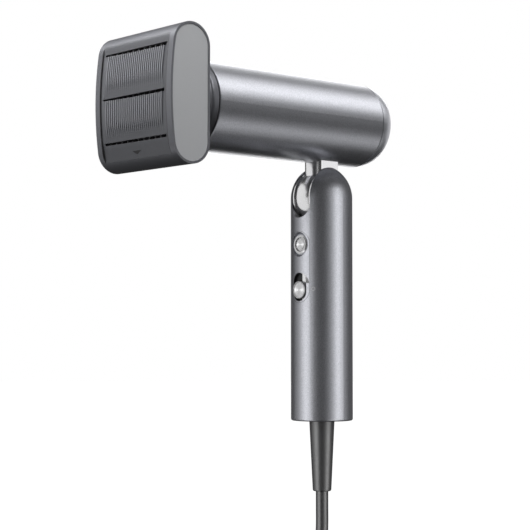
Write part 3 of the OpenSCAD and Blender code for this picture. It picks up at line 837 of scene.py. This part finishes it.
def make_world():
    """White where the camera sees it, a dim room with a lighter ceiling for everything else."""
    world = bpy.data.worlds.new("studio")
    bpy.context.scene.world = world
    world.use_nodes = True
    tree = world.node_tree
    tree.nodes.clear()
    out = tree.nodes.new("ShaderNodeOutputWorld")
    mix = tree.nodes.new("ShaderNodeMixShader")
    path = tree.nodes.new("ShaderNodeLightPath")
    seen = tree.nodes.new("ShaderNodeBackground")
    seen.inputs["Color"].default_value = (1, 1, 1, 1)
    room = tree.nodes.new("ShaderNodeBackground")
    coords = tree.nodes.new("ShaderNodeTexCoord")
    split = tree.nodes.new("ShaderNodeSeparateXYZ")
    ramp = tree.nodes.new("ShaderNodeMapRange")
    ramp.inputs["From Min"].default_value = -1
    ramp.inputs["From Max"].default_value = 1
    ramp.inputs["To Min"].default_value = ROOM_LOW
    ramp.inputs["To Max"].default_value = ROOM_HIGH
    link = tree.links.new
    link(coords.outputs["Generated"], split.inputs[0])
    link(split.outputs["Z"], ramp.inputs["Value"])
    link(ramp.outputs[0], room.inputs["Strength"])
    link(path.outputs["Is Camera Ray"], mix.inputs[0])
    link(room.outputs[0], mix.inputs[1])
    link(seen.outputs[0], mix.inputs[2])
    link(mix.outputs[0], out.inputs[0])


def make_floor():
    """A wide pale disc a little below the hanging cord."""
    mesh = bpy.data.meshes.new("floor")
    bm = bmesh.new()
    bmesh.ops.create_circle(bm, cap_ends=True, segments=96, radius=FLOOR_R)
    bm.to_mesh(mesh)
    bm.free()
    floor = bpy.data.objects.new("floor", mesh)
    floor.location.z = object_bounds()[0][2] - FLOOR_GAP
    bpy.context.scene.collection.objects.link(floor)
    floor.visible_glossy = False
    floor.visible_diffuse = False
    floor.data.materials.append(floor_material())


# ---------------------------------------------------------------- materials

NOISE_LOW, NOISE_HIGH = 0.3, 0.7
# The Mix node's sockets for colours, whose names it also uses for its other kinds.
MIX_A, MIX_B, MIX_RESULT = 6, 7, 2


class Finish:
    """A Principled material with a few procedural helpers on object coordinates."""

    def __init__(self, name, color, roughness, metallic=0.0, **sockets):
        self.material = bpy.data.materials.new(name)
        self.material.use_nodes = True
        self.tree = self.material.node_tree
        self.shader = self.tree.nodes["Principled BSDF"]
        self.set("Base Color", (*color, 1))
        self.set("Roughness", roughness)
        self.set("Metallic", metallic)
        for socket, value in sockets.items():
            self.set(socket.replace("_", " "), value)

    def set(self, socket, value):
        self.shader.inputs[socket].default_value = value

    def node(self, kind, **inputs):
        made = self.tree.nodes.new("ShaderNode" + kind)
        for socket, value in inputs.items():
            made.inputs[socket.replace("_", " ")].default_value = value
        return made

    def link(self, a, b):
        self.tree.links.new(a, b)

    def noise(self, scale, detail=2.0):
        made = self.node("TexNoise", Scale=scale, Detail=detail)
        self.link(self.node("TexCoord").outputs["Object"], made.inputs["Vector"])
        return made.outputs["Fac"]

    def spread(self, fac, low, high):
        """Maps a noise, from the middle of its range, to a range of numbers."""
        made = self.node("MapRange", From_Min=NOISE_LOW, From_Max=NOISE_HIGH,
                         To_Min=low, To_Max=high)
        self.link(fac, made.inputs["Value"])
        return made.outputs[0]

    def tint(self, fac, dark, light):
        """Base colour that varies between two colours."""
        mix = self.node("Mix")
        mix.data_type = "RGBA"
        self.link(fac, mix.inputs["Factor"])
        mix.inputs[MIX_A].default_value = (*dark, 1)
        mix.inputs[MIX_B].default_value = (*light, 1)
        self.link(mix.outputs[MIX_RESULT], self.shader.inputs["Base Color"])

    def rough(self, fac, low, high):
        """Roughness that varies between two numbers."""
        self.link(self.spread(fac, low, high), self.shader.inputs["Roughness"])

    def bump(self, fac, distance, strength):
        made = self.node("Bump", Strength=strength, Distance=distance)
        self.link(fac, made.inputs["Height"])
        self.link(made.outputs["Normal"], self.shader.inputs["Normal"])


def floor_material():
    """Pale matt floor that glows just enough to meet the white round it without an edge."""
    finish = Finish("pale_floor", (0.9, 0.9, 0.9), 0.9, Emission_Color=(1, 1, 1, 1),
                    Emission_Strength=1.0)
    finish.tint(finish.noise(6), (0.88, 0.88, 0.88), (0.92, 0.92, 0.92))
    return finish.material


def paint_material():
    """Satin metallic grey paint: fine flakes, a soft orange peel."""
    finish = Finish("satin_paint", (0.45, 0.455, 0.47), 0.36, 0.9, Coat_Weight=0.15,
                    Coat_Roughness=0.3)
    flakes = finish.spread(finish.noise(2100, 1), 0, 1)
    finish.tint(flakes, (0.368, 0.374, 0.402), (0.514, 0.522, 0.560))
    finish.rough(finish.noise(900), 0.33, 0.40)
    finish.bump(finish.noise(2600, 1), 0.00001, 0.25)
    return finish.material


def chrome_material():
    """Polished chrome with a faint haze."""
    finish = Finish("polished_chrome", (0.86, 0.86, 0.87), 0.22, 1.0)
    finish.rough(finish.noise(350, 4), 0.19, 0.26)
    finish.tint(finish.noise(60), (0.84, 0.84, 0.85), (0.89, 0.89, 0.90))
    return finish.material


def spun_material():
    """Turned metal face with the fan-shaped glints of its fine concentric grooves."""
    finish = Finish("spun_metal", (0.80, 0.80, 0.81), 0.30, 1.0, Anisotropic=0.95)
    turn = finish.node("Tangent")
    turn.direction_type = "RADIAL"
    turn.axis = "Z"
    finish.link(turn.outputs["Tangent"], finish.shader.inputs["Tangent"])
    finish.tint(finish.noise(2400, 3), (0.70, 0.70, 0.71), (0.88, 0.88, 0.89))
    finish.rough(finish.noise(1500), 0.27, 0.36)
    return finish.material


def plastic_material(name, dark, light, roughness=(0.42, 0.52), grain=2600, depth=0.000012):
    """Moulded plastic with a fine spark-eroded grain."""
    finish = Finish(name, light, roughness[0])
    finish.tint(finish.noise(grain, 2), dark, light)
    finish.rough(finish.noise(400), *roughness)
    finish.bump(finish.noise(grain, 1), depth, 0.6)
    return finish.material


def soft_pvc():
    """Satin PVC of cord, strain relief and plug: a glossy skin over a fine grain."""
    finish = Finish("soft_pvc", (0.05, 0.05, 0.052), 0.36, IOR=1.8, Specular_IOR_Level=0.8,
                    Coat_Weight=0.3, Coat_Roughness=0.4)
    finish.tint(finish.noise(2600, 2), (0.04, 0.04, 0.042), (0.065, 0.065, 0.067))
    finish.rough(finish.noise(400), 0.33, 0.40)
    finish.bump(finish.noise(2600, 1), 0.00001, 0.5)
    return finish.material


def satin_plastic():
    """Dark grey plastic with a metallic pigment."""
    finish = Finish("nozzle_plastic", (0.19, 0.192, 0.20), 0.4, 0.55)
    finish.tint(finish.noise(2600, 2), (0.152, 0.155, 0.170), (0.186, 0.190, 0.208))
    finish.rough(finish.noise(400), 0.38, 0.44)
    finish.bump(finish.noise(2600, 1), 0.000012, 0.5)
    return finish.material


# Share of the plastic's grain mixed into the painted rib shade.
GRAIN_IN_PAINTED_SHADE = 0.2


def panel_plastic_painted_rib_shade():
    """The nozzle's plastic on its louvred panel, with painted highlight on the rib crests and
    painted shade in the valleys, read from the rib attribute.
    """
    finish = Finish("panel_plastic_painted_rib_shade", (0.15, 0.153, 0.167), 0.4, 0.55)
    rib = finish.node("Attribute")
    rib.attribute_name = "rib"
    grain = finish.node("Math")
    grain.operation = "MULTIPLY_ADD"
    grain.inputs[1].default_value = GRAIN_IN_PAINTED_SHADE
    finish.link(finish.noise(2600, 2), grain.inputs[0])
    finish.link(rib.outputs["Fac"], grain.inputs[2])
    # Base colour runs from painted shade to painted highlight with the rib attribute, plus a little
    # grain.
    finish.tint(grain.outputs[0], (0.064, 0.066, 0.073), (0.268, 0.273, 0.293))
    finish.rough(finish.noise(400), 0.38, 0.44)
    finish.bump(finish.noise(2600, 1), 0.000012, 0.5)
    return finish.material


def metal_material(name, dark, light, roughness=(0.25, 0.4)):
    """Bare metal with a cloudy colour and a fine surface."""
    finish = Finish(name, light, roughness[0], 1.0)
    finish.tint(finish.noise(900, 3), dark, light)
    finish.rough(finish.noise(500, 3), *roughness)
    finish.bump(finish.noise(1800, 2), 0.000008, 0.4)
    return finish.material


# Name, two colours and the range of roughness of the plain finishes, by slot or use.
PLASTICS = {
    "vane_plastic": ("vane_plastic", (0.30, 0.30, 0.31), (0.38, 0.38, 0.39)),
    "print": ("white_print", (0.72, 0.72, 0.73), (0.80, 0.80, 0.81)),
    "cap_plastic": ("cap_plastic", (0.472, 0.480, 0.494), (0.516, 0.525, 0.541), (0.5, 0.6)),
    "comb_plastic": ("dark_plastic", (0.06, 0.06, 0.065), (0.09, 0.09, 0.095)),
    "tie_rubber": ("silicone", (0.012, 0.012, 0.013), (0.022, 0.022, 0.023), (0.5, 0.62)),
    "board": ("solder_resist", (0.012, 0.11, 0.035), (0.02, 0.17, 0.06), (0.25, 0.35)),
    "black_plastic": ("black_plastic", (0.015, 0.015, 0.016), (0.03, 0.03, 0.031)),
    "mica": ("mica", (0.46, 0.38, 0.24), (0.62, 0.53, 0.36), (0.3, 0.5), 500),
    "wire_red": ("wire_insulation", (0.42, 0.03, 0.025), (0.55, 0.05, 0.04), (0.25, 0.35)),
}
METALS = {
    "steel": ("bare_steel", (0.50, 0.50, 0.51), (0.66, 0.66, 0.67)),
    "die_cast": ("die_cast_alloy", (0.52, 0.53, 0.54), (0.64, 0.65, 0.66), (0.4, 0.55)),
    "spring_brass": ("brass", (0.66, 0.52, 0.26), (0.80, 0.65, 0.34), (0.2, 0.3)),
    "heater_wire": ("heater_wire", (0.40, 0.25, 0.16), (0.58, 0.38, 0.25), (0.3, 0.45)),
    "magnet": ("magnet", (0.2, 0.2, 0.21), (0.3, 0.3, 0.31), (0.4, 0.55)),
}


def make_materials():
    """Every finish by its slot in the record, and a few for pieces that have none there."""
    made = {
        "body_paint": paint_material(),
        "chrome": chrome_material(),
        "spun": spun_material(),
        "nozzle_plastic": satin_plastic(),
        "panel": panel_plastic_painted_rib_shade(),
        "rubber": soft_pvc(),
    }
    made.update({key: plastic_material(*values) for key, values in PLASTICS.items()})
    made.update({key: metal_material(*values) for key, values in METALS.items()})
    return made


make_world()
make_floor()
FINISHES = make_materials()


def finish_with(obj, key):
    obj.data.materials.clear()
    obj.data.materials.append(FINISHES[key])


for part in frame["record"]["subparts"]:
    finish_with(NODES[part["node"]], part["material_slot"])
finish_with(NODES["comb_vanes"], "vane_plastic")
for piece, key in (
    (CORD, "rubber"),
    (PLUG, "rubber"),
    (STRAP, "tie_rubber"),
    (STRAP_END, "tie_rubber"),
    (make_front_panel(), "panel"),
    (make_marker(), "black_plastic"),
    # The two black strips are painted shadow in the steps beside the panel.
    (make_painted_shadow_strip("nozzle_reveal_far", -PANEL_HALF + SHADOW_STRIP_INSET), "black_plastic"),
    (make_painted_shadow_strip("nozzle_reveal_near", PANEL_HALF - SHADOW_STRIP_INSET), "black_plastic"),
    (make_button(), "spun"),
    (make_knob(), "spun"),
    (make_off_mark(), "print"),
    (make_strip_seam(), "comb_plastic"),
    # Black on the recess sheet is painted shade.
    (make_recess_painted_shade(), "black_plastic"),
    (make_recess_bevel(), "chrome"),
    (make_recess_plate(), "chrome"),
):
    finish_with(piece, key)

make_lights()
bpy.context.scene.view_settings.view_transform = "Standard"
